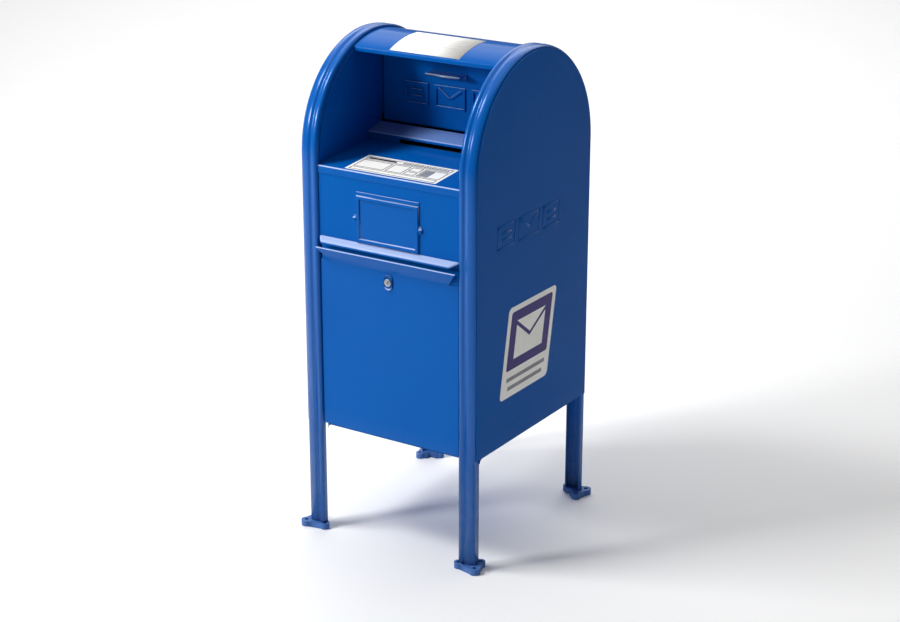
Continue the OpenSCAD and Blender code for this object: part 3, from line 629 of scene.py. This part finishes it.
def raise_sign(bm, middle, wide, tall, rise, out, flap):
    """A pressed sign in outline: an envelope where flap is set, and a plain plaque where not."""
    rib, inner_rise = 7.5 * MM, rise * 0.92
    middle, out, up = Vector(middle), Vector(out), Vector((0, 0, 1))
    side = up.cross(out).normalized()
    corners = [middle + side * sx * wide / 2 + up * sz * tall / 2
               for sx, sz in ((-1, -1), (1, -1), (1, 1), (-1, 1))]
    for a, b in zip(corners, corners[1:] + corners[:1]):
        push = (b - a).normalized() * rib / 2
        bar(bm, a - push, b + push, rib, rise, out)
    if flap:
        tip = middle - up * tall * 0.08
        for corner in (corners[3], corners[2]):
            bar(bm, corner, tip, rib, inner_rise, out)
    else:
        reach = side * wide * 0.28
        for share in (-0.16, 0.16):
            line = middle + up * tall * share
            bar(bm, line - reach, line + reach, rib, inner_rise, out)
    bmesh.ops.recalc_face_normals(bm, faces=bm.faces)


class MAILBOX_OT_pull(bpy.types.Operator):
    """Bends the pull on the deposit door, with its rolled front edge"""
    bl_idname = "mailbox.pull"
    bl_label = "Pull handle"

    def execute(self, context):
        low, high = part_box("pull_handle")
        half, face_y, top, tip, foot = high.x, high.y, high.z, low.y, low.z
        roll, stand_off = 3.2 * MM, 0.9 * MM
        wear_margin, wear_swell = 2 * MM, 1.06
        middle = (tip + roll, top - roll)
        line = [(face_y - stand_off, foot), (face_y - stand_off, top)]
        line += [(middle[0] - roll * math.sin(t * math.pi / 12),
                  middle[1] + roll * math.cos(t * math.pi / 12)) for t in range(19)]
        bm = bmesh.new()
        _, edges = chain(bm, [(-half, y, z) for y, z in line])
        pull(bm, edges, (2 * half, 0, 0))
        fold(bm, 2.5 * MM, 4, 50)
        face_away(bm, (0, face_y - 12 * MM, foot))
        finish_piece(bm, "pull_plate", "hopper", "folded",
                     ["pull_handle"], wall=1.6 * MM, edge=0.5 * MM)
        # Hands have worn the roll's front down to the zinc.
        bm = bmesh.new()
        _, edges = chain(bm, [(wear_margin - half, middle[0] + (y - middle[0]) * wear_swell,
                               middle[1] + (z - middle[1]) * wear_swell) for y, z in line[7:17]])
        pull(bm, edges, (2 * (half - wear_margin), 0, 0))
        face_away(bm, (0, *middle))
        finish_piece(bm, "pull_wear_strip", "hopper", "zinc",
                     wall=0.15 * MM)
        return {"FINISHED"}


class MAILBOX_OT_ledge(bpy.types.Operator):
    """Folds the drip ledge over the collection door"""
    bl_idname = "mailbox.ledge"
    bl_label = "Drip ledge"

    def execute(self, context):
        sizes = context.scene.mailbox_sizes
        half = LEDGE_HIGH.x
        wall_y, front_y = LEDGE_HIGH.y, LEDGE_LOW.y
        top, low = LEDGE_HIGH.z, LEDGE_LOW.z
        nose, taper = 7 * MM, 16 * MM
        edge_z, end = low + nose, half - taper
        bm = bmesh.new()
        verts, edges = chain(bm, [(-half, wall_y, top), (-end, front_y, edge_z),
                                  (end, front_y, edge_z), (half, wall_y, top)])
        bm.faces.new(verts)
        pull(bm, edges, (0, 0, -nose))
        bmesh.ops.recalc_face_normals(bm, faces=bm.faces)
        fold(bm, sizes.fold_radius * 1.5, 6, 30)
        face_away(bm, (0, wall_y, low - 0.03))
        finish_piece(bm, "drip_ledge_sheet", "cabinet", "folded",
                     ["drip_ledge"], wall=2.2 * MM, edge=sizes.edge)
        return {"FINISHED"}


class MAILBOX_OT_door(bpy.types.Operator):
    """Folds the collection door's skin, edge flanges and flared top lip"""
    bl_idname = "mailbox.door"
    bl_label = "Collection door"

    def execute(self, context):
        sizes = context.scene.mailbox_sizes
        half = SKIN_HIGH.x
        lip_y, lip_z = SKIN_LOW.y, SKIN_HIGH.z
        skin_y = PANEL_LOW.y
        lip_drop, lip_taper, flange_gap = 45 * MM, 28 * MM, 10 * MM
        hem_out, hem_up, hem_down = 5.5 * MM, 2.6 * MM, 3 * MM
        bend_z = PANEL_LOW.z - lip_drop
        bottom = SKIN_LOW.z
        flange_z = bottom + flange_gap
        bend = half - lip_taper
        back = SKIN_HIGH.y - skin_y
        bm = bmesh.new()
        ring = [(-half, bottom), (half, bottom), (half, flange_z), (half, bend_z),
                (bend, bend_z), (-bend, bend_z), (-half, bend_z), (-half, flange_z)]
        verts = [bm.verts.new((x, skin_y, z)) for x, z in ring]
        face = bm.faces.new(verts)
        bm.verts.index_update()
        edges = {frozenset((e.verts[0].index, e.verts[1].index)): e for e in face.edges}
        lip = pull(bm, [edges[frozenset((4, 5))]], (0, lip_y - skin_y, lip_z - bend_z))
        for v in {v for e in lip for v in e.verts}:
            v.co.x = math.copysign(half, v.co.x)
        hem = pull(bm, lip, (0, hem_out, hem_up))
        pull(bm, hem, (0, 0.6 * MM, -hem_down))
        pull(bm, [edges[frozenset((2, 3))]], (0, back, 0))
        pull(bm, [edges[frozenset((6, 7))]], (0, back, 0))
        fold(bm, 2.2 * MM, 5, 25)
        face_away(bm, (0, skin_y + 0.1, (bottom + bend_z) / 2))
        finish_piece(bm, "collection_door_sheet", "collection_door", "folded",
                     ["collection_door"], wall=2.3 * MM, edge=sizes.edge)
        return {"FINISHED"}


class MAILBOX_OT_card_frame(bpy.types.Operator):
    """Builds the card frame from its back plate, front frame, ears and studs"""
    bl_idname = "mailbox.card_frame"
    bl_label = "Card frame"

    def execute(self, context):
        wall_y = PANEL_LOW.y
        low, high, half = CARD_LOW.z, CARD_HIGH.z, 91 * MM
        head = 9 * MM
        ear_z = (low + high - head) / 2
        plate, ear, ear_radius = 2.4 * MM, 3 * MM, 10 * MM
        stud_radius, stud_out, stud_flat = 6 * MM, 4.5 * MM, 0.75

        bm = bmesh.new()
        slab(bm, [(-half, wall_y, low), (half, wall_y, low), (half, wall_y, high),
                  (-half, wall_y, high)], plate, (0, -1, 0))
        for side in (-1, 1):
            place = Matrix.Translation((side * half, wall_y - ear / 2, ear_z))
            bmesh.ops.create_cone(bm, cap_ends=True, segments=32, radius1=ear_radius,
                                  radius2=ear_radius, depth=ear,
                                  matrix=place @ Matrix.Rotation(math.pi / 2, 4, "X"))
        bmesh.ops.recalc_face_normals(bm, faces=bm.faces)
        finish_piece(bm, "card_back_plate", "cabinet", "folded",
                     ["card_frame"], edge=2.0 * MM, steps=3)

        # The front frame: sloped in, flat and sloped out again round its window.
        top = high - head
        foot_y = wall_y - 2.1 * MM
        bm = bmesh.new()
        window = bm.faces.new([bm.verts.new((x, foot_y, z)) for x, z in (
            (-half, low), (half, low), (half, top), (-half, top))])
        window.normal_update()
        for inset, rise in ((2.2 * MM, 3.4 * MM), (7 * MM, 0), (2.2 * MM, -3 * MM)):
            bmesh.ops.inset_region(bm, faces=[window], use_boundary=True, use_even_offset=True,
                                   thickness=inset, depth=rise)
        bmesh.ops.delete(bm, geom=[window], context="FACES")
        face_away(bm, (0, wall_y + 0.06, (low + top) / 2))
        finish_piece(bm, "card_front_frame", "cabinet", "folded",
                     wall=1.3 * MM)

        bm = bmesh.new()
        for side in (-1, 1):
            place = Matrix.Translation((side * (half + stud_out), wall_y - plate, ear_z))
            bmesh.ops.create_uvsphere(bm, u_segments=24, v_segments=12, radius=stud_radius,
                                      matrix=place @ Matrix.Scale(stud_flat, 4, (0, 1, 0)))
        finish_piece(bm, "card_studs", "cabinet", "folded",
                     ["card_frame_studs"])
        return {"FINISHED"}


class MAILBOX_OT_lock(bpy.types.Operator):
    """Builds the raised oblong ring round the lock"""
    bl_idname = "mailbox.lock"
    bl_label = "Lock ring"

    def execute(self, context):
        wall_y = PANEL_LOW.y
        middle = (RING_LOW + RING_HIGH) / 2
        radius = (RING_HIGH.x - RING_LOW.x) / 2
        run = (RING_HIGH.z - RING_LOW.z) / 2 - radius
        height, rim, well = 4.5 * MM, 3.4 * MM, 3.4 * MM
        corners = [(middle.x + end * radius * math.cos(math.pi * i / 12), wall_y,
                    middle.z + end * (run + radius * math.sin(math.pi * i / 12)))
                   for end in (1, -1) for i in range(13)]
        bm = bmesh.new()
        front = only(raise_face(bm, corners, (0, -height, 0)), bmesh.types.BMFace)
        bmesh.ops.inset_region(bm, faces=front, thickness=rim, depth=0)
        bmesh.ops.translate(bm, verts=list({v for f in front for v in f.verts}),
                            vec=(0, well, 0))
        bmesh.ops.recalc_face_normals(bm, faces=bm.faces)
        finish_piece(bm, "lock_ring", "collection_door", "folded",
                     ["lock_escutcheon"], edge=1.6 * MM, steps=4)
        return {"FINISHED"}


class MAILBOX_OT_feet(bpy.types.Operator):
    """Casts the three-lobed feet with their bolt holes"""
    bl_idname = "mailbox.feet"
    bl_label = "Feet"

    def execute(self, context):
        for node in sorted(n for n in frame["nodes"] if n.startswith("foot_")):
            bm = copy_of(node, 0.02 * MM)
            top_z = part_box(node)[1].z - 0.1 * MM
            top = [e for e in bm.edges if all(v.co.z > top_z for v in e.verts)]
            round_edges(bm, top, 1.8 * MM, 3, clamp=True)
            finish_piece(bm, node + "_casting", "cabinet", "casting",
                         [node], angle=50)
        return {"FINISHED"}


class MAILBOX_OT_labels(bpy.types.Operator):
    """Lays the printed notices on the shelf and on the hood"""
    bl_idname = "mailbox.labels"
    bl_label = "Notices"

    def execute(self, context):
        half, near_edge, deep = 131 * MM, 10 * MM, 104 * MM
        film_lift, film, ink_lift, ink = 0.02 * MM, 0.38 * MM, 0.40 * MM, 0.05 * MM
        rule, tick, tick_step = 2.4 * MM, 4.5 * MM, 0.028
        up = on_shelf(0, 0, 1) - on_shelf(0, 0, 0)

        def patch(bm, x0, x1, run0, run1, lift=ink_lift, thick=ink):
            slab(bm, [on_shelf(run0, x0, lift), on_shelf(run0, x1, lift),
                      on_shelf(run1, x1, lift), on_shelf(run1, x0, lift)], thick, up)

        def across(share):
            return -half + 2 * half * share

        def back(share):
            return near_edge + deep * share

        bm = bmesh.new()
        patch(bm, -half, half, back(0), back(1), film_lift, film)
        bmesh.ops.recalc_face_normals(bm, faces=bm.faces)
        finish_piece(bm, "shelf_notice", "cabinet", "paper",
                     ["shelf_label"])
        # Ruled boxes, a row of ticks and a heading bar, as shares of the notice's size.
        bm = bmesh.new()
        boxes = [(0.03, 0.97, 0.04, 0.20), (0.03, 0.36, 0.24, 0.70), (0.38, 0.56, 0.24, 0.70),
                 (0.58, 0.70, 0.24, 0.42), (0.58, 0.70, 0.46, 0.70), (0.72, 0.97, 0.24, 0.70),
                 (0.03, 0.97, 0.74, 0.93)]
        for x0, x1, r0, r1 in boxes:
            left, right, near, far = across(x0), across(x1), back(r0), back(r1)
            patch(bm, left, right, near, near + rule)
            patch(bm, left, right, far - rule, far)
            patch(bm, left, left + rule, near + rule, far - rule)
            patch(bm, right - rule, right, near + rule, far - rule)
        for i in range(18):
            start = across(0.44 + tick_step * i)
            patch(bm, start, start + tick, back(0.79), back(0.88))
        patch(bm, across(0.05), across(0.36), back(0.79), back(0.885))
        bmesh.ops.recalc_face_normals(bm, faces=bm.faces)
        finish_piece(bm, "shelf_notice_rules", "cabinet", "ink")
        bm = bmesh.new()
        patch(bm, across(0.735), across(0.84), back(0.28), back(0.66))
        bmesh.ops.recalc_face_normals(bm, faces=bm.faces)
        finish_piece(bm, "shelf_notice_square", "cabinet", "grey_ink")

        low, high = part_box("hood_label")
        centre_z, radius = RIM_LOW.z, HOOD_HIGH.y
        start, sweep = math.asin(-low.y / radius), math.radians(27)
        line_left, line_wide, line_tall = -88 * MM, 176 * MM, math.radians(0.35)

        def band(bm, x0, x1, start, sweep, r):
            """A strip round the hood from x0 to x1, swept back from its front angle."""
            y, z = -r * math.sin(start), centre_z + r * math.cos(start)
            verts, edges = chain(bm, [(x0, y, z), (x1, y, z)])
            bmesh.ops.spin(bm, geom=edges + verts, cent=(0, 0, centre_z), axis=(1, 0, 0),
                           dvec=(0, 0, 0), angle=-sweep, steps=max(2, int(sweep * 60)),
                           use_merge=False)

        bm = bmesh.new()
        band(bm, low.x, high.x, start, sweep, radius + 0.4 * MM)
        face_away(bm, (0, 0, centre_z))
        finish_piece(bm, "hood_notice", "cabinet", "paper",
                     ["hood_label"], wall=0.38 * MM)
        bm = bmesh.new()
        for i, share in enumerate((0.5, 0.9, 0.9, 0.86, 0.9, 0.6)):
            band(bm, line_left, line_left + line_wide * share, start - sweep * (0.2 + 0.12 * i),
                 line_tall, radius + 0.46 * MM)
        face_away(bm, (0, 0, centre_z))
        finish_piece(bm, "hood_notice_lines", "cabinet", "faint_ink",
                     wall=0.04 * MM)
        return {"FINISHED"}


class MAILBOX_OT_decals(bpy.types.Operator):
    """Sticks the slanted decals on both sides, with a plain envelope sign"""
    bl_idname = "mailbox.decals"
    bl_label = "Side decals"

    def execute(self, context):
        low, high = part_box("side_decal_right")
        tall = high.z - low.z
        slant = 44 * MM
        wide = high.y - low.y - slant
        middle = (low + high) / 2
        film_lift, film = 0.02 * MM, 0.36 * MM
        ink_lift, top_lift, ink = 0.39 * MM, 0.43 * MM, 0.03 * MM
        bar_half = 0.022
        sign_z, sign_tall, sign_rise = 0.836, 54 * MM, 0.7 * MM

        def spot(side, across, up, lift):
            return (side * (SIDE_WALL_X + lift), middle.y + across * wide + slant * up,
                    middle.z + up * tall)

        def shape(bm, side, points, lift, thick=ink):
            raise_face(bm, [spot(side, a, u, lift) for a, u in points], (side * thick, 0, 0))

        def rounded(a0, a1, u0, u1, r):
            """The outline of a panel with round corners, in shares of the decal's size."""
            points = []
            for ca, cu, turn in ((a1 - r, u1 - r, 0), (a0 + r, u1 - r, 90), (a0 + r, u0 + r, 180),
                                 (a1 - r, u0 + r, 270)):
                points += [(ca + r * math.cos(math.radians(turn + 15 * i)),
                            cu + r * math.sin(math.radians(turn + 15 * i))) for i in range(7)]
            return points

        for side, word in ((-1, "left"), (1, "right")):
            bm = bmesh.new()
            shape(bm, side, rounded(-0.5, 0.5, -0.5, 0.5, 0.055), film_lift, film)
            bmesh.ops.recalc_face_normals(bm, faces=bm.faces)
            finish_piece(bm, f"side_decal_film_{word}", "cabinet", "paper",
                         [f"side_decal_{word}"])
            bm = bmesh.new()
            shape(bm, side, rounded(-0.43, 0.43, -0.20, 0.44, 0.03), ink_lift)
            bmesh.ops.recalc_face_normals(bm, faces=bm.faces)
            finish_piece(bm, f"side_decal_field_{word}", "cabinet", "violet_ink")
            bm = bmesh.new()
            shape(bm, side, [(-0.30, 0.325), (0.30, 0.325), (0.0, 0.13)], top_lift)
            shape(bm, side, [(-0.30, 0.28), (0.0, 0.085), (0.30, 0.28), (0.30, -0.09),
                             (-0.30, -0.09)], top_lift)
            bmesh.ops.recalc_face_normals(bm, faces=bm.faces)
            finish_piece(bm, f"side_decal_envelope_{word}", "cabinet", "paper")
            bm = bmesh.new()
            for up, share in ((-0.30, 0.40), (-0.40, 0.36)):
                shape(bm, side, [(-share, up - bar_half), (share, up - bar_half),
                                 (share, up + bar_half), (-share, up + bar_half)], ink_lift)
            bmesh.ops.recalc_face_normals(bm, faces=bm.faces)
            finish_piece(bm, f"side_decal_bars_{word}", "cabinet", "grey_ink")
            bm = bmesh.new()
            for y, long, flap in ((-136 * MM, 78 * MM, False), (-30 * MM, 94 * MM, True),
                                  (76 * MM, 78 * MM, False)):
                raise_sign(bm, (side * SIDE_WALL_X, y, sign_z), long, sign_tall, sign_rise,
                           (side, 0, 0), flap)
            finish_piece(bm, f"side_sign_{word}", "cabinet", "enamel",
                         edge=0.6 * MM, steps=3)
        return {"FINISHED"}


class MAILBOX_OT_plain_sheet(bpy.types.Operator):
    """Softens the cut edges of the plain sheet, and gives every other part its finish"""
    bl_idname = "mailbox.plain_sheet"
    bl_label = "Plain sheet and hardware"

    def execute(self, context):
        soft = {
            "side_panel_left": ("enamel", 1.2), "side_panel_right": ("enamel", 1.2),
            "back_panel": ("enamel", 0.6), "upper_front_panel": ("enamel", 0.5),
            "door_sill": ("enamel", 0.6), "floor_pan": ("recess", 0.6),
            "recess_wall_left": ("recess", 0.4), "recess_wall_right": ("recess", 0.4),
            "strike_bar": ("recess", 0.5), "door_top_channel": ("recess", 0.5),
            "door_jamb_left": ("recess", 0.4), "door_jamb_right": ("recess", 0.4),
            "door_stiffener": ("recess", 0.5), "door_liner": ("recess", 0.5),
            "anti_theft_baffle": ("recess", 0.5), "hopper_pan": ("recess", 0.5),
            "hopper_cheek_left": ("recess", 0.4), "hopper_cheek_right": ("recess", 0.4),
            "counterweight": ("zinc", 1.2), "lock_body": ("zinc", 0.6),
            "lock_nut": ("zinc", 0.6), "cam_nut": ("zinc", 0.4), "lock_cam": ("zinc", 0.4),
            "lock_plug": ("brass", 0.25), "door_bumpers": ("rubber", 0.2),
            "hopper_bumpers": ("rubber", 1.0), "pivot_bush_left": ("nylon", 0.4),
            # The slot teeth are nearly black: painted shade inside the slot.
            "pivot_bush_right": ("nylon", 0.4), "slot_teeth": ("slot_shade_black_steel", 0.2),
            "pivot_rod": ("zinc", 0.8), "pull_handle_rivets": ("enamel", 0.5),
            "door_rivets": ("zinc", 0.5), "sill_rivets": ("zinc", 0.5),
        }
        for node, (finish, width) in soft.items():
            bm = copy_of(node, 0.01 * MM)
            soften(bm, width * MM)
            finish_piece(bm, node + "_finished", frame["nodes"][node]["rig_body"],
                         finish, [node])
        for node, obj in frame["nodes"].items():
            if not obj.hide_render:
                obj.data.materials.clear()
                obj.data.materials.append(finish_of("zinc"))
        return {"FINISHED"}


class MAILBOX_OT_stage(bpy.types.Operator):
    """Sets the pale floor, the soft lights and the camera"""
    bl_idname = "mailbox.stage"
    bl_label = "Stage"

    def execute(self, context):
        scene = context.scene
        bm = bmesh.new()
        bmesh.ops.create_grid(bm, x_segments=2, y_segments=2, size=20)
        bmesh.ops.translate(bm, verts=bm.verts, vec=(0, 0, -0.5 * MM))
        mesh = bpy.data.meshes.new("floor")
        bm.to_mesh(mesh)
        bm.free()
        floor = bpy.data.objects.new("floor", mesh)
        scene.collection.objects.link(floor)
        paint = bpy.data.materials.new("Matt studio floor, white")
        paint.use_nodes = True
        shader = paint.node_tree.nodes["Principled BSDF"]
        shader.inputs["Base Color"].default_value = linear("#f7f7f7")
        shader.inputs["Roughness"].default_value = 0.9
        shader.inputs["Specular IOR Level"].default_value = 0.1
        mesh.materials.append(paint)
        world = bpy.data.worlds.new("Studio")
        world.use_nodes = True
        world.node_tree.nodes["Background"].inputs["Color"].default_value = (1, 1, 1, 1)
        world.node_tree.nodes["Background"].inputs["Strength"].default_value = 0.13
        scene.world = world
        # Name, place, aim, side in metres and watts: the key and rim lamps draw the bright
        # lines on the rims, and the two wide ones whiten the floor.
        lamps = (("key", (-2.6, -3.4, 2.4), (0, 0, 0.8), 0.8, 112),
                 ("rim", (-2.0, -1.6, 3.9), (0, 0, 0.8), 1.0, 95),
                 ("crown", (-1.0, 1.6, 5.0), (-0.4, 0.4, 0), 7.0, 160),
                 ("far", (-4.2, 7.0, 5.0), (-4.2, 7.0, 0), 9.0, 420))
        for name, place, aim, size, power in lamps:
            light = bpy.data.lights.new(name, "AREA")
            light.size = size
            light.energy = power
            lamp = bpy.data.objects.new(name, light)
            lamp.location = place
            lamp.rotation_euler = (Vector(aim) - Vector(place)).to_track_quat("-Z", "Y").to_euler()
            scene.collection.objects.link(lamp)
        turn, rise, reach = math.radians(32.90), math.radians(19.55), 5.1034
        aim = Vector((0.00417, 0, 0.55567))
        lens = bpy.data.cameras.new("camera")
        lens.sensor_width = 36
        lens.lens = 79.93
        lens.clip_end = 100
        camera = bpy.data.objects.new("camera", lens)
        camera.location = aim + reach * Vector((math.sin(turn) * math.cos(rise),
                                                -math.cos(turn) * math.cos(rise),
                                                math.sin(rise)))
        camera.rotation_euler = (aim - camera.location).to_track_quat("-Z", "Y").to_euler()
        scene.collection.objects.link(camera)
        scene.camera = camera
        scene.view_settings.view_transform = "Standard"
        return {"FINISHED"}


class MAILBOX_PT_panel(bpy.types.Panel):
    """Lists the sizes, the colours and the steps that build the box"""
    bl_idname = "MAILBOX_PT_panel"
    bl_label = "Mail Collection Box"
    bl_space_type = "VIEW_3D"
    bl_region_type = "UI"
    bl_category = "Mailbox"

    def draw(self, context):
        layout = self.layout
        for settings in (context.scene.mailbox_sizes, context.scene.mailbox_colours):
            column = layout.column(align=True)
            for key in settings.__annotations__:
                column.prop(settings, key)
        for operator in OPERATORS:
            layout.operator(operator.bl_idname)


OPERATORS = (MAILBOX_OT_rims, MAILBOX_OT_hood, MAILBOX_OT_shelf, MAILBOX_OT_deposit_door,
             MAILBOX_OT_pull, MAILBOX_OT_ledge, MAILBOX_OT_door, MAILBOX_OT_card_frame,
             MAILBOX_OT_lock, MAILBOX_OT_feet, MAILBOX_OT_labels, MAILBOX_OT_decals,
             MAILBOX_OT_plain_sheet, MAILBOX_OT_stage)
CLASSES = (MailboxSizes, MailboxColours, *OPERATORS, MAILBOX_PT_panel)


def register():
    """Adds the classes and the settings to Blender"""
    for cls in CLASSES:
        bpy.utils.register_class(cls)
    bpy.types.Scene.mailbox_sizes = bpy.props.PointerProperty(type=MailboxSizes)
    bpy.types.Scene.mailbox_colours = bpy.props.PointerProperty(type=MailboxColours)


def unregister():
    """Takes the settings and the classes away again"""
    del bpy.types.Scene.mailbox_colours
    del bpy.types.Scene.mailbox_sizes
    for cls in reversed(CLASSES):
        bpy.utils.unregister_class(cls)


def main():
    """Builds the box and its stage"""
    register()
    for operator in OPERATORS:
        group, name = operator.bl_idname.split(".")
        getattr(getattr(bpy.ops, group), name)()
    bpy.context.view_layer.update()
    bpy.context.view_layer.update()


if __name__ == "__main__":
    main()
